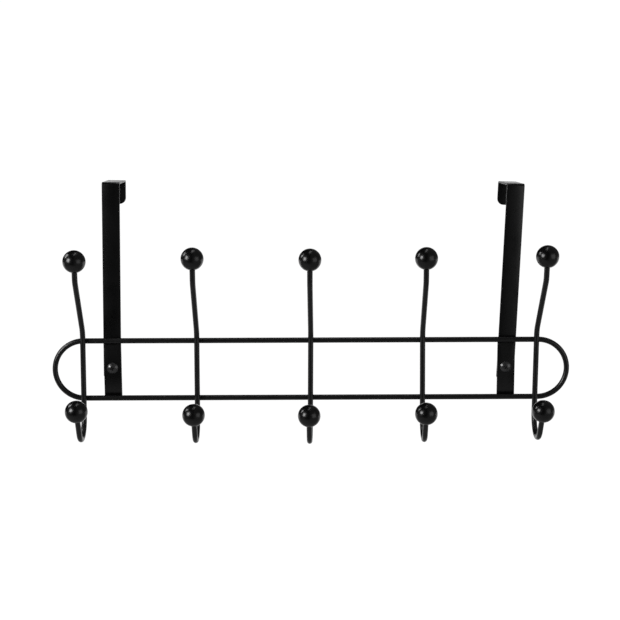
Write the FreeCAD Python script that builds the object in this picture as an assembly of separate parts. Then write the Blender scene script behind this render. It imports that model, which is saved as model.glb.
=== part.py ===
import FreeCAD
import Part

import math
import os

# Over door hook rack of bent steel wire, in millimetres.
# +X runs along the rack to the right, -Y points at the viewer and +Z is up.
# The origin is on the top edge of the door, midway through its thickness and
# below the middle of the rack.

Vector = FreeCAD.Vector

# Round wire of the loop and the hooks
wire_diameter = 4.7
weld_set_down = 0.4
weld_bead_radius = 2.8

# Loop: two level rails joined by half circles
loop_width = 450.0
rail_spacing = 50.7
hang_depth = 160.0

# Hook wires, side view: the upper prong leans out and ends nearly upright
end_hook_margin = 0.9
hook_row_shift = -1.0
bend_gap = 0.2
prong_bend_radius = 15.0
prong_lean = 39.0
prong_run = 53.5
tip_bend_radius = 12.0
tip_lean = 6.0
tip_run = 16.5

# Hook wires, side view: the lower end turns up in a round throat
drop_run = 13.7
throat_radius = 18.0
front_leg_lean = 31.5
front_leg_run = 23.4

# How each hook wire sits in its welds, from left to right: small errors of hand loading
hook_side_error = (-0.1, 0.3, 0.6, -0.4, -0.4)
hook_lift_error = (0.7, -0.3, -1.4, -0.2, 1.3)
hook_tilt = (0.5, 0.3, 0.4, -0.4, 0.5)
hook_twist = (1.7, 0.5, -1.6, -1.0, -0.8)
hook_feed_error = (2.5, -0.5, -0.4, -0.1, 0.2)

# Balls pushed onto the wire ends
ball_diameter = 19.0
ball_bore_depth = 11.0
ball_bore_clearance = 0.05
ball_mouth_chamfer = 0.4

# Plates welded behind the rails, each with its hole a little off its middle
plate_width = 15.3
plate_thickness = 2.0
plate_overhang = 1.5
plate_set_in = 0.3
plate_corner_radius = 1.5
plate_hole_offset = 0.2

# Straps of flat bar, bent over the door
door_gap = 35.0
strap_width = 15.3
strap_thickness = 1.5
strap_bend_radius = 1.0
return_leg = 21.0
return_corner_radius = 5.5
strap_tail = 8.8
strap_flat_run = 32.0
tail_corner_radius = 1.2
strap_edge_radius = 0.3
strap_slot_play = 3.0
strap_slot_clearance = 0.5

# Where each strap is clamped, left then right: its screw's place inside the end hook, how far
# right and how high it sits on the screw, its lean, and the twist in its bar above the plate
strap_inset = (23.3, 26.4)
strap_side_error = (-0.4, 0.2)
strap_lift = (0.7, -1.4)
strap_lean = (0.9, 2.1)
strap_twist = (-0.6, 3.5)

# Screws and nuts that clamp the straps to the plates
screw_rise = 0.7
screw_diameter = 4.0
screw_hole_clearance = 0.25
head_diameter = 9.8
head_rim = 0.5
head_dome = 2.0
recess_width = 4.4
recess_slot = 0.9
recess_depth = 1.7
recess_floor_width = 1.6
screw_turn = (18.0, 52.0)
nut_across_flats = 7.0
nut_height = 3.2
nut_bore_clearance = 0.05
thread_showing = 1.4
end_chamfer = 0.5

# Sizes that follow from the ones above
wire_radius = wire_diameter / 2
rail_half = rail_spacing / 2
rail_end_x = loop_width / 2 - wire_radius - rail_half
end_hook_x = rail_end_x - end_hook_margin
hook_pitch = 2 * end_hook_x / (len(hook_tilt) - 1)
ball_radius = ball_diameter / 2
ball_seat = ball_bore_depth - ball_radius
strap_back_y = -door_gap / 2
plate_back_y = strap_back_y - strap_thickness
plate_front_y = plate_back_y - plate_thickness
rail_y = plate_front_y + plate_set_in - wire_radius
hook_y = rail_y - wire_diameter + weld_set_down
rail_mid_z = -hang_depth
screw_z = rail_mid_z + screw_rise
screw_x = (strap_inset[0] - end_hook_x, end_hook_x - strap_inset[1])

X_AXIS = Vector(1, 0, 0)
Y_AXIS = Vector(0, 1, 0)
Z_AXIS = Vector(0, 0, 1)


class BendPath:
    """A centre line in the YZ plane, drawn as a bending machine makes it: runs and tangent bends.

    The heading is in degrees from straight up, and grows towards the viewer.
    """

    def __init__(self, start, heading):
        self.point = start
        self.heading = heading
        self.edges = []

    def direction(self):
        angle = math.radians(self.heading)
        return Vector(0, -math.sin(angle), math.cos(angle))

    def run(self, length):
        end = self.point + self.direction() * length
        self.edges.append(Part.LineSegment(self.point, end).toShape())
        self.point = end

    def bend(self, radius, turn):
        side = math.copysign(radius, turn)
        centre = self.point + self._inward() * side
        self.heading += turn / 2
        middle = centre - self._inward() * side
        self.heading += turn / 2
        end = centre - self._inward() * side
        self.edges.append(Part.Arc(self.point, middle, end).toShape())
        self.point = end

    def _inward(self):
        angle = math.radians(self.heading)
        return Vector(0, -math.cos(angle), -math.sin(angle))

    def sweep(self, section):
        return Part.Wire(self.edges).makePipe(Part.Face(section))


def round_section(radius, centre, normal):
    """A circle as a wire, the section of a round bar."""
    return Part.Wire(Part.makeCircle(radius, centre, normal))


def make_loop():
    """The closed wire loop: two straight rails and two half circles, one sweep."""
    corners = {}
    for side in (-1, 1):
        for level in (-1, 1):
            corners[side, level] = Vector(side * rail_end_x, rail_y, rail_mid_z + level * rail_half)
    edges = []
    for level in (-1, 1):
        edges.append(Part.LineSegment(corners[-1, level], corners[1, level]).toShape())
    for side in (-1, 1):
        outermost = Vector(side * (rail_end_x + rail_half), rail_y, rail_mid_z)
        edges.append(Part.Arc(corners[side, -1], outermost, corners[side, 1]).toShape())
    path = Part.Wire(Part.__sortEdges__(edges))
    first = path.OrderedEdges[0]
    start = first.valueAt(first.FirstParameter)
    section = round_section(wire_radius, start, first.tangentAt(first.FirstParameter))
    return path.makePipe(Part.Face(section))


def hook_placement(index):
    """Where a hook stands on the rails, with its own small tilt, twist and lift."""
    along = index * hook_pitch - end_hook_x + hook_row_shift
    spot = Vector(along + hook_side_error[index], hook_y, rail_mid_z)
    tilt = FreeCAD.Rotation(Y_AXIS, hook_tilt[index])
    twist = FreeCAD.Rotation(Z_AXIS, hook_twist[index])
    return FreeCAD.Placement(spot, tilt * twist)


def hook_path(lift, feed):
    """The hook wire's centre line, from the lower ball to the upper one.

    The upright part is at Y = 0 and the middle of the rails at Z = 0. The lift raises the
    whole wire in its welds. All wires are cut to one length, so a wire that was fed too far
    into its bends has a longer front leg and a shorter tip.
    """
    bend_start = rail_half + wire_radius + bend_gap
    path = BendPath(Vector(0, 0, 0), 180 + front_leg_lean)
    path.run(front_leg_run + feed + ball_seat)
    path.bend(throat_radius, 180 - front_leg_lean)
    foot = path.point
    path.heading -= 360
    path.run(drop_run + rail_half + bend_start)
    path.bend(prong_bend_radius, prong_lean)
    path.run(prong_run)
    path.bend(tip_bend_radius, tip_lean - prong_lean)
    path.run(tip_run - feed + ball_seat)
    shift = Vector(0, 0, lift - drop_run - rail_half) - foot
    for edge in path.edges:
        edge.translate(shift)
    path.point += shift
    return path, shift


def make_ball(centre, outward):
    """A ball with a blind bore for the wire, which comes in against the outward direction."""
    ball = Part.makeSphere(ball_radius, centre)
    bore_radius = wire_radius + ball_bore_clearance
    floor = centre + outward * ball_seat
    bore = Part.makeCylinder(bore_radius, ball_bore_depth + ball_radius, floor, -outward)
    mouth_depth = math.sqrt(ball_radius**2 - bore_radius**2)
    mouth = Part.makeCone(
        bore_radius,
        bore_radius + 2 * ball_mouth_chamfer,
        2 * ball_mouth_chamfer,
        centre - outward * (mouth_depth - ball_mouth_chamfer),
        -outward,
    )
    return ball.cut(bore).cut(mouth)


def make_hook(index, loop):
    """One hook wire and its two balls, seated on the rails by a weld at each crossing."""
    placement = hook_placement(index)
    path, start = hook_path(hook_lift_error[index], hook_feed_error[index])
    lower_out = BendPath(start, front_leg_lean).direction()
    upper_out = path.direction()
    wire = path.sweep(round_section(wire_radius, start, lower_out))
    for level in (-1, 1):
        weld = Vector(0, wire_radius - weld_set_down / 2, level * rail_half)
        wire = wire.fuse(Part.makeSphere(weld_bead_radius, weld))
    wire.Placement = placement
    wire = wire.cut(loop)
    balls = []
    for end, outward in ((start, lower_out), (path.point, upper_out)):
        ball = make_ball(end - outward * ball_seat, outward)
        ball.Placement = placement
        balls.append(ball)
    return wire, balls[0], balls[1]


def screw_centre(side):
    return Vector(screw_x[side], 0, screw_z)


def screw_hole(middle, clearance, play=0):
    """A clearance hole along Y about a point, drawn out to an upright slot by the play."""
    radius = screw_diameter / 2 + clearance
    start_y = plate_front_y - plate_thickness
    length = strap_back_y + strap_thickness - start_y
    low = Vector(middle.x, start_y, middle.z - play / 2)
    hole = Part.makeCylinder(radius, length, low, Y_AXIS)
    if play:
        high = Part.makeCylinder(radius, length, low + Z_AXIS * play, Y_AXIS)
        between = Part.makeBox(2 * radius, length, play, low - X_AXIS * radius)
        hole = hole.fuse(between).fuse(high)
    return hole


def make_plate(side, loop):
    """A flat plate across the back of both rails, with a shallow weld groove for each rail."""
    height = rail_spacing + 2 * plate_overhang
    left = screw_x[side] + plate_hole_offset - plate_width / 2
    corner = Vector(left, plate_front_y, rail_mid_z - height / 2)
    plate = Part.makeBox(plate_width, plate_thickness, height, corner)
    plate = plate.makeFillet(plate_corner_radius, edges_along(plate, Y_AXIS))
    return plate.cut(screw_hole(screw_centre(side), screw_hole_clearance)).cut(loop)


def edges_along(shape, axis, keep=lambda middle: True):
    """Straight edges that run along an axis and whose middle passes a test."""
    found = []
    for edge in shape.Edges:
        if not isinstance(edge.Curve, (Part.Line, Part.LineSegment)):
            continue
        if abs(edge.tangentAt(edge.FirstParameter).dot(axis)) < 0.999:
            continue
        if keep(edge.CenterOfMass):
            found.append(edge)
    return found


def bar_section(middle, turn):
    """The rounded outline of an upright bar, turned about its own middle."""
    half_width = strap_width / 2 - strap_edge_radius
    half_sheet = strap_thickness / 2 - strap_edge_radius
    corners = []
    for quarter, (right, back) in enumerate(((1, 1), (-1, 1), (-1, -1), (1, -1))):
        centre = middle + Vector(right * half_width, back * half_sheet, 0)
        start = 90 * quarter
        corners.append(Part.makeCircle(strap_edge_radius, centre, Z_AXIS, start, start + 90))
    edges = []
    for corner, following in zip(corners, corners[1:] + corners[:1]):
        edges.append(corner)
        edges.append(Part.makeLine(corner.Vertexes[-1].Point, following.Vertexes[0].Point))
    outline = Part.Wire(edges)
    outline.rotate(middle, Z_AXIS, turn)
    return outline


def bent_bar(path, start, corner_radius):
    """Flat bar along a path that starts upright, with the two corners of one end rounded.

    The end to round is the lower end of a straight bar, and the far end of a bent one.
    """
    half_width = X_AXIS * strap_width / 2
    half_sheet = Y_AXIS * strap_thickness / 2
    corners = [
        start - half_width - half_sheet,
        start + half_width - half_sheet,
        start + half_width + half_sheet,
        start - half_width + half_sheet,
    ]
    bar = path.sweep(Part.makePolygon(corners + corners[:1]))
    end_z = min(start.z, path.point.z)
    end_edges = edges_along(bar, Y_AXIS, lambda middle: abs(middle.z - end_z) < strap_thickness)
    return round_sheet_edges(bar.makeFillet(corner_radius, end_edges))


def make_strap(side):
    """A flat bar bent twice: up the front of the door, over its top and down its back.

    Its slot lets it sit a little high or low on the screw, and lean to one side. The bar is
    flat against the plate, and twisted a little from there up to its first bend.
    """
    mid_radius = strap_bend_radius + strap_thickness / 2
    slot_middle = screw_centre(side) + X_AXIS * strap_side_error[side]
    foot = slot_middle + Vector(0, strap_back_y - strap_thickness / 2, -strap_tail)
    flat_path = BendPath(foot, 0)
    flat_path.run(strap_tail + strap_flat_run)
    flat_end = flat_path.point
    top_start = Vector(foot.x, foot.y, -strap_bend_radius)
    top_path = BendPath(top_start, 0)
    top_path.bend(mid_radius, -90)
    top_path.run(door_gap - 2 * strap_bend_radius)
    top_path.bend(mid_radius, -90)
    top_path.run(return_leg - strap_thickness - strap_bend_radius)
    top = bent_bar(top_path, top_start, return_corner_radius)
    top.rotate(top_start, Z_AXIS, strap_twist[side])
    sections = [bar_section(flat_end, 0), bar_section(top_start, strap_twist[side])]
    strap = bent_bar(flat_path, foot, tail_corner_radius)
    strap = strap.fuse(Part.makeLoft(sections, True, True)).fuse(top)
    strap = strap.cut(screw_hole(slot_middle, strap_slot_clearance, strap_slot_play))
    strap.translate(Z_AXIS * strap_lift[side])
    strap.rotate(screw_centre(side), Y_AXIS, strap_lean[side])
    return strap


def round_sheet_edges(strap):
    """Takes the sharpness off the two long outlines of a strap, which every side face shares."""
    sides = [face for face in strap.Faces if face.BoundBox.XLength < strap_thickness]
    outline = []
    for face in sides:
        for edge in face.Edges:
            if abs(edge.CenterOfMass.x - face.CenterOfMass.x) < 1e-6:
                outline.append(edge)
    long_edges = [edge for edge in outline if edge.Length > strap_thickness * 1.01]
    return strap.makeFillet(strap_edge_radius, long_edges)


def make_screw(side):
    """A domed cross-recess screw, head against the plate and end past the nut."""
    radius = screw_diameter / 2
    head_radius = head_diameter / 2
    length = plate_thickness + strap_thickness + nut_height + thread_showing
    dome_radius = (head_radius**2 + head_dome**2) / (2 * head_dome)
    half_angle = math.asin(head_radius / dome_radius) / 2
    top = head_rim + head_dome
    crown = Vector(
        dome_radius * math.sin(half_angle), 0, top - dome_radius * (1 - math.cos(half_angle))
    )
    edges = [
        Part.Arc(Vector(0, 0, top), crown, Vector(head_radius, 0, head_rim)).toShape(),
        Part.makePolygon(
            [
                Vector(head_radius, 0, head_rim),
                Vector(head_radius, 0, 0),
                Vector(radius, 0, 0),
                Vector(radius, 0, end_chamfer - length),
                Vector(radius - end_chamfer, 0, -length),
                Vector(0, 0, -length),
                Vector(0, 0, top),
            ]
        ),
    ]
    outline = Part.Wire([edge for shape in edges for edge in shape.Edges])
    screw = Part.Face(outline).revolve(Vector(0, 0, 0), Z_AXIS, 360)
    for quarter in (0, 90):
        screw = screw.cut(recess_wing(top, screw_turn[side] + quarter))
    screw.rotate(Vector(0, 0, 0), X_AXIS, 90)
    screw.translate(screw_centre(side) + Y_AXIS * plate_front_y)
    return screw


def recess_wing(top, turn):
    """One wing of the cross recess: a slot whose two ends slope in towards its floor."""
    mouth = recess_width / 2
    floor = recess_floor_width / 2
    slope = (mouth - floor) / recess_depth
    over = head_dome
    half_slot = Y_AXIS * recess_slot / 2
    profile = [
        Vector(-mouth - slope * over, 0, top + over),
        Vector(mouth + slope * over, 0, top + over),
        Vector(floor, 0, top - recess_depth),
        Vector(-floor, 0, top - recess_depth),
    ]
    outline = Part.makePolygon([point - half_slot for point in profile + profile[:1]])
    wing = Part.Face(outline).extrude(half_slot * 2)
    wing.rotate(Vector(0, 0, 0), Z_AXIS, turn)
    return wing


def make_nut(side):
    """A hexagon nut against the back of the strap, its corners turned off on both faces."""
    corner_radius = nut_across_flats / math.sqrt(3)
    corners = []
    for index in range(7):
        angle = math.radians(60 * index)
        corners.append(Vector(corner_radius * math.cos(angle), 0, corner_radius * math.sin(angle)))
    nut = Part.Face(Part.makePolygon(corners)).extrude(Y_AXIS * nut_height)
    face_radius = nut_across_flats / 2
    reach = nut_height / math.tan(math.radians(30))
    cone = Part.makeCone(face_radius, face_radius + reach, nut_height, Vector(0, 0, 0), Y_AXIS)
    back_cone = cone.mirror(Vector(0, nut_height / 2, 0), Y_AXIS)
    nut = nut.common(cone).common(back_cone)
    bore_radius = screw_diameter / 2 + nut_bore_clearance
    nut = nut.cut(Part.makeCylinder(bore_radius, nut_height, Vector(0, 0, 0), Y_AXIS))
    nut.rotate(Vector(0, 0, 0), Y_AXIS, strap_lean[side])
    nut.translate(screw_centre(side) + Y_AXIS * strap_back_y)
    return nut


def build():
    """Every piece of the rack by its name."""
    pieces = {}
    loop = make_loop()
    pieces["frame_loop"] = loop
    for index in range(len(hook_tilt)):
        wire, lower_ball, upper_ball = make_hook(index, loop)
        pieces[f"hook_wire_{index + 1}"] = wire
        pieces[f"lower_ball_{index + 1}"] = lower_ball
        pieces[f"upper_ball_{index + 1}"] = upper_ball
    for side, name in enumerate(("left", "right")):
        pieces[f"mounting_plate_{name}"] = make_plate(side, loop)
        pieces[f"door_strap_{name}"] = make_strap(side)
        pieces[f"screw_{name}"] = make_screw(side)
        pieces[f"nut_{name}"] = make_nut(side)
    return pieces


os.makedirs("parts", exist_ok=True)
for name, shape in build().items():
    shape.exportStep(os.path.join("parts", name + ".step"))
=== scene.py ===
"""Looks of the over door hook rack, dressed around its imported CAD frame.

Lengths are in metres. +X runs along the rack to the right, -Y points at the viewer, +Z is up,
and the origin is on the top edge of the door.
"""

import logging
import math
from collections.abc import Iterable
from dataclasses import dataclass
from enum import Enum

import bmesh
import bpy
from mathutils import Matrix, Vector


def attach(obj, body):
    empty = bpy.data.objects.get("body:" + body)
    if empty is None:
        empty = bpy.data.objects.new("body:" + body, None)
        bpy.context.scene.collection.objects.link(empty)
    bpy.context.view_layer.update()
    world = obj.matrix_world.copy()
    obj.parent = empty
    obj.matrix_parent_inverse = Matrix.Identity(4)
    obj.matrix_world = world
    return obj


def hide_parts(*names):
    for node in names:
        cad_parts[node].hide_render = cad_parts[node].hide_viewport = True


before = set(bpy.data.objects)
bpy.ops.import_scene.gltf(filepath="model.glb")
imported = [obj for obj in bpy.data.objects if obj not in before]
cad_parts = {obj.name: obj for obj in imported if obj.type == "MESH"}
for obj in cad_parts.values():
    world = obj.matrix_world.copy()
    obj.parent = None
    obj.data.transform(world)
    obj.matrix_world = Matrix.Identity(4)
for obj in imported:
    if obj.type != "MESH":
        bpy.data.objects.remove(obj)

LOG = logging.getLogger("over_door_hook")
MM = 0.001
X_AXIS = Vector((1, 0, 0))
Y_AXIS = Vector((0, 1, 0))
Z_AXIS = Vector((0, 0, 1))


class Side(Enum):
    """Left and right, as seen from the front."""

    LEFT = "left"
    RIGHT = "right"

    @property
    def index(self) -> int:
        """0 for left and 1 for right, to pick from a pair of values."""
        return int(self is Side.RIGHT)


class Cut(Enum):
    """What a boolean keeps."""

    UNION = "UNION"
    DIFFERENCE = "DIFFERENCE"
    INTERSECT = "INTERSECT"


@dataclass(frozen=True)
class RackSizes:
    """Driving sizes that the sub-assemblies share.

    Attributes:
        wire_diameter: round wire of the loop and of the hooks.
        weld_set_down: how far crossing wires are pressed into each other.
        loop_width: overall width of the wire loop.
        rail_spacing: between the middles of the two rails.
        hang_depth: from the top of the door down to the middle of the rails.
        door_gap: thickness of the door between the legs of a strap.
        sheet_thickness: flat bar of the straps.
        plate_thickness: flat bar of the plates.
        plate_set_in: how far a rail is sunk into a plate.
        screw_rise: height of the screws above the middle of the rails.
        screw_x: place of the left and right screw along the rack.
        strap_lean: lean of the left and right strap, in degrees clockwise.
    """

    wire_diameter: float = 4.7 * MM
    weld_set_down: float = 0.4 * MM
    loop_width: float = 450.0 * MM
    rail_spacing: float = 50.7 * MM
    hang_depth: float = 160.0 * MM
    door_gap: float = 35.0 * MM
    sheet_thickness: float = 1.5 * MM
    plate_thickness: float = 2.0 * MM
    plate_set_in: float = 0.3 * MM
    screw_rise: float = 0.7 * MM
    screw_x: tuple[float, float] = (-173.1 * MM, 170.0 * MM)
    strap_lean: tuple[float, float] = (0.9, 2.1)

    @property
    def wire_radius(self) -> float:
        """Radius of the round wire."""
        return self.wire_diameter / 2

    @property
    def rail_half(self) -> float:
        """From the middle of the loop to the middle of a rail."""
        return self.rail_spacing / 2

    @property
    def strap_back_y(self) -> float:
        """Back of a strap's front leg, which faces the door."""
        return -self.door_gap / 2

    @property
    def plate_back_y(self) -> float:
        """Back of a plate, which the strap lies against."""
        return self.strap_back_y - self.sheet_thickness

    @property
    def plate_front_y(self) -> float:
        """Front of a plate, which the screw head and the rails lie on."""
        return self.plate_back_y - self.plate_thickness

    @property
    def rail_y(self) -> float:
        """Middle of the rails."""
        return self.plate_front_y + self.plate_set_in - self.wire_radius

    @property
    def hook_y(self) -> float:
        """Middle of the hook wires where they cross the rails."""
        return self.rail_y - self.wire_diameter + self.weld_set_down

    @property
    def rail_mid_z(self) -> float:
        """Height of the middle of the rails."""
        return -self.hang_depth

    @property
    def screw_z(self) -> float:
        """Height of the screws."""
        return self.rail_mid_z + self.screw_rise

    def screw_centre(self, side: Side) -> Vector:
        """Where a screw's axis passes the middle of the door.

        Args:
            side: which screw.

        Returns:
            A point on the screw's axis, at Y = 0.
        """
        return Vector((self.screw_x[side.index], 0, self.screw_z))

    def lean(self, side: Side) -> Matrix:
        """The turn about a screw that gives a strap its lean.

        Args:
            side: which strap.

        Returns:
            A turn about the screw's own axis.
        """
        centre = Matrix.Translation(self.screw_centre(side))
        turn = Matrix.Rotation(math.radians(self.strap_lean[side.index]), 4, "Y")
        return centre @ turn @ centre.inverted()


def outward_mesh(mesh: bmesh.types.BMesh, merge: float = 1e-7) -> bmesh.types.BMesh:
    """Merges doubled points and turns all faces outwards.

    Args:
        mesh: the mesh to clean, which is changed.
        merge: points nearer than this become one.

    Returns:
        The same mesh.
    """
    bmesh.ops.remove_doubles(mesh, verts=mesh.verts[:], dist=merge)
    bmesh.ops.recalc_face_normals(mesh, faces=mesh.faces[:])
    return mesh


def make_object(name: str, mesh: bmesh.types.BMesh) -> bpy.types.Object:
    """Turns a bmesh into an object at the origin.

    Args:
        name: the object's name.
        mesh: its shape, which is freed.

    Returns:
        The new object.
    """
    data = bpy.data.meshes.new(name)
    mesh.to_mesh(data)
    mesh.free()
    made = bpy.data.objects.new(name, data)
    bpy.context.scene.collection.objects.link(made)
    return made


def apply_modifiers(piece: bpy.types.Object) -> None:
    """Makes the modifiers' result the piece's own mesh.

    Args:
        piece: the piece, which keeps no modifier.
    """
    graph = bpy.context.evaluated_depsgraph_get()
    result = bpy.data.meshes.new_from_object(piece.evaluated_get(graph), depsgraph=graph)
    piece.modifiers.clear()
    old = piece.data
    piece.data = result
    result.name = piece.name
    bpy.data.meshes.remove(old)


def combine(piece: bpy.types.Object, tool: bpy.types.Object, cut: Cut) -> None:
    """Joins, cuts or trims a piece with a tool, which is used up.

    Args:
        piece: the piece to change.
        tool: the solid that works on it.
        cut: what is kept.
    """
    boolean = piece.modifiers.new("cut", "BOOLEAN")
    boolean.operation = cut.value
    boolean.solver = "EXACT"
    boolean.object = tool
    apply_modifiers(piece)
    bpy.data.objects.remove(tool)


def drop_flaps(mesh: bmesh.types.BMesh) -> None:
    """Deletes doubled faces, and faces that only hang on the surface by an edge.

    Args:
        mesh: the mesh to clean, of triangles.
    """
    while True:
        twins: dict[frozenset[bmesh.types.BMVert], list[bmesh.types.BMFace]] = {}
        for face in mesh.faces:
            twins.setdefault(frozenset(face.verts), []).append(face)
        loose = {face for pair in twins.values() if len(pair) > 1 for face in pair}
        rims = [edge.link_faces[0] for edge in mesh.edges if edge.is_boundary]
        loose |= {face for face in rims if any(len(edge.link_faces) > 2 for edge in face.edges)}
        if not loose:
            return
        bmesh.ops.delete(mesh, geom=list(loose), context="FACES")


def clear_crumbs(piece: bpy.types.Object, merge: float = 0.002 * MM) -> None:
    """Keeps the largest body, without the slivers that a cut along a near surface leaves.

    Args:
        piece: the piece to clean.
        merge: edges shorter than this, and triangles thinner than this, are closed.
    """
    mesh = bmesh.new()
    mesh.from_mesh(piece.data)
    bmesh.ops.triangulate(mesh, faces=mesh.faces[:])
    bmesh.ops.dissolve_degenerate(mesh, dist=merge, edges=mesh.edges[:])
    drop_flaps(mesh)
    unseen = set(mesh.verts)
    bodies: list[list[bmesh.types.BMVert]] = []
    while unseen:
        body = [unseen.pop()]
        for vert in body:
            near = {edge.other_vert(vert) for edge in vert.link_edges} & unseen
            unseen -= near
            body.extend(near)
        bodies.append(body)
    crumbs = [vert for body in sorted(bodies, key=len)[:-1] for vert in body]
    bmesh.ops.delete(mesh, geom=crumbs, context="VERTS")
    mesh.to_mesh(piece.data)
    mesh.free()


def shade(piece: bpy.types.Object, crease: float = 35.0) -> None:
    """Shades a piece smooth, with sharp edges where its faces meet at more than the crease.

    Args:
        piece: the piece to shade.
        crease: the angle in degrees.
    """
    piece.data.shade_smooth()
    piece.data.set_sharp_from_angle(angle=math.radians(crease))


def soften_edges(
    piece: bpy.types.Object, radius: float, rows: int = 3, crease: float = 50.0
) -> None:
    """Rounds the sharp edges of a part.

    Args:
        piece: the part.
        radius: the edges' radius.
        rows: rows of faces in each rounding.
        crease: the angle in degrees from which an edge is sharp.
    """
    bevel = piece.modifiers.new("soft_edges", "BEVEL")
    bevel.width = radius
    bevel.segments = rows
    bevel.limit_method = "ANGLE"
    bevel.angle_limit = math.radians(crease)
    bevel.use_clamp_overlap = True
    apply_modifiers(piece)


def mount(
    piece: bpy.types.Object, material: bpy.types.Material, replaced: str
) -> None:
    """Dresses a finished piece and puts it in the place of its CAD node.

    Args:
        piece: the finished piece.
        material: what it is made of.
        replaced: the CAD node that it stands for.
    """
    piece.data.materials.clear()
    piece.data.materials.append(material)
    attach(piece, "root")
    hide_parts(replaced)
    LOG.info("%s stands for %s, %d faces", piece.name, replaced, len(piece.data.polygons))


class BendPath:
    """Draws a bar along a bent centre line in the YZ plane, as a bending machine does.

    The heading is in degrees from straight up, and grows towards the viewer.
    """

    def __init__(self, point: Vector, heading: float) -> None:
        """Starts at a point.

        Args:
            point: where the centre line starts.
            heading: the direction that it starts in.
        """
        self.mesh = bmesh.new()
        self.point = point
        self.heading = heading
        self.section: list[bmesh.types.BMVert | bmesh.types.BMEdge] = []

    def direction(self) -> Vector:
        """The direction of the centre line at its end."""
        return Matrix.Rotation(math.radians(self.heading), 3, "X") @ Z_AXIS

    def round_section(self, radius: float, sides: int) -> None:
        """Opens the bar with a round section.

        Args:
            radius: the bar's radius.
            sides: how many sides the circle has.
        """
        place = Matrix.Translation(self.point) @ Matrix.Rotation(
            math.radians(self.heading), 4, "X"
        )
        made = bmesh.ops.create_circle(self.mesh, radius=radius, segments=sides, matrix=place)
        self._keep(made["verts"])

    def flat_section(self, width: float) -> None:
        """Opens the bar with one edge along X, the middle of a flat sheet.

        Args:
            width: the sheet's width.
        """
        ends = [self.mesh.verts.new(self.point + X_AXIS * half) for half in (-width / 2, width / 2)]
        self.mesh.edges.new(ends)
        self._keep(ends)

    def _keep(self, verts: list[bmesh.types.BMVert]) -> None:
        """Takes the points and their edges as the section that is drawn on.

        Args:
            verts: the section's points.
        """
        edges = dict.fromkeys(edge for vert in verts for edge in vert.link_edges)
        self.section = verts + [edge for edge in edges if all(v in verts for v in edge.verts)]

    def run(self, length: float, pieces: int = 1) -> None:
        """Draws a straight run.

        Args:
            length: how long it is.
            pieces: how many rows of faces it gets.
        """
        for _ in range(pieces):
            edges = [part for part in self.section if isinstance(part, bmesh.types.BMEdge)]
            made = bmesh.ops.extrude_edge_only(self.mesh, edges=edges)["geom"]
            verts = [part for part in made if isinstance(part, bmesh.types.BMVert)]
            bmesh.ops.translate(self.mesh, vec=self.direction() * length / pieces, verts=verts)
            self._keep(verts)
        self.point = self.point + self.direction() * length

    def bend(self, radius: float, turn: float, steps: int) -> None:
        """Draws a bend that carries on smoothly from the run before it.

        Args:
            radius: radius of the centre line.
            turn: how far the heading turns, in degrees.
            steps: how many rows of faces it gets.
        """
        across = Matrix.Rotation(math.radians(90), 3, "X") @ self.direction()
        centre = self.point + across * math.copysign(radius, turn)
        made = bmesh.ops.spin(
            self.mesh,
            geom=self.section,
            cent=centre,
            axis=X_AXIS,
            angle=math.radians(turn),
            steps=steps,
            use_duplicate=False,
        )
        self._keep([part for part in made["geom_last"] if isinstance(part, bmesh.types.BMVert)])
        swing = Matrix.Rotation(math.radians(turn), 3, "X")
        self.point = centre + swing @ (self.point - centre)
        self.heading += turn

    def close_ends(self) -> None:
        """Puts a face on each open end."""
        rims = [edge for edge in self.mesh.edges if edge.is_boundary]
        bmesh.ops.holes_fill(self.mesh, edges=rims, sides=0)


def turned_mesh(outline: Iterable[tuple[float, float]], sides: int) -> bmesh.types.BMesh:
    """Turns an outline about Z, as on a lathe.

    Args:
        outline: radius and height of each point, from one end of the axis to the other.
        sides: how many sides the turned shape has.

    Returns:
        The closed shape.
    """
    mesh = bmesh.new()
    points = [mesh.verts.new((radius, 0, height)) for radius, height in outline]
    edges = [mesh.edges.new(pair) for pair in zip(points, points[1:])]
    bmesh.ops.spin(
        mesh,
        geom=points + edges,
        cent=(0, 0, 0),
        axis=Z_AXIS,
        angle=2 * math.pi,
        steps=sides,
        use_merge=True,
        use_duplicate=False,
    )
    return outward_mesh(mesh)


def arc_points(radius: float, first: float, last: float, steps: int) -> list[tuple[float, float]]:
    """Points of an arc about the origin, for a turned outline.

    Args:
        radius: the arc's radius.
        first: where it starts, in radians from the axis.
        last: where it ends.
        steps: how many chords it has.

    Returns:
        Radius and height of each point.
    """
    angles = [first + (last - first) * step / steps for step in range(steps + 1)]
    return [(radius * math.sin(angle), radius * math.cos(angle)) for angle in angles]


def slotted_cutter(
    radius: float, play: float, depth: float, middle: Vector, sides: int = 48
) -> bmesh.types.BMesh:
    """A round-ended cutter along Y for a hole, or for an upright slot.

    Args:
        radius: half the slot's width.
        play: how far the slot is drawn out.
        depth: how long the cutter is.
        middle: the cutter's centre.
        sides: how many sides its round ends have together.

    Returns:
        The cutter.
    """
    mesh = bmesh.new()
    upright = Matrix.Rotation(math.radians(90), 4, "X")
    bmesh.ops.create_circle(mesh, cap_ends=True, radius=radius, segments=sides, matrix=upright)
    for vert in mesh.verts:
        vert.co.z += math.copysign(play / 2, vert.co.z)
    made = bmesh.ops.extrude_face_region(mesh, geom=mesh.faces[:])["geom"]
    moved = [part for part in made if isinstance(part, bmesh.types.BMVert)]
    bmesh.ops.translate(mesh, vec=Y_AXIS * depth, verts=moved)
    bmesh.ops.translate(mesh, vec=middle - Y_AXIS * depth / 2, verts=mesh.verts[:])
    return outward_mesh(mesh)


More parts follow.
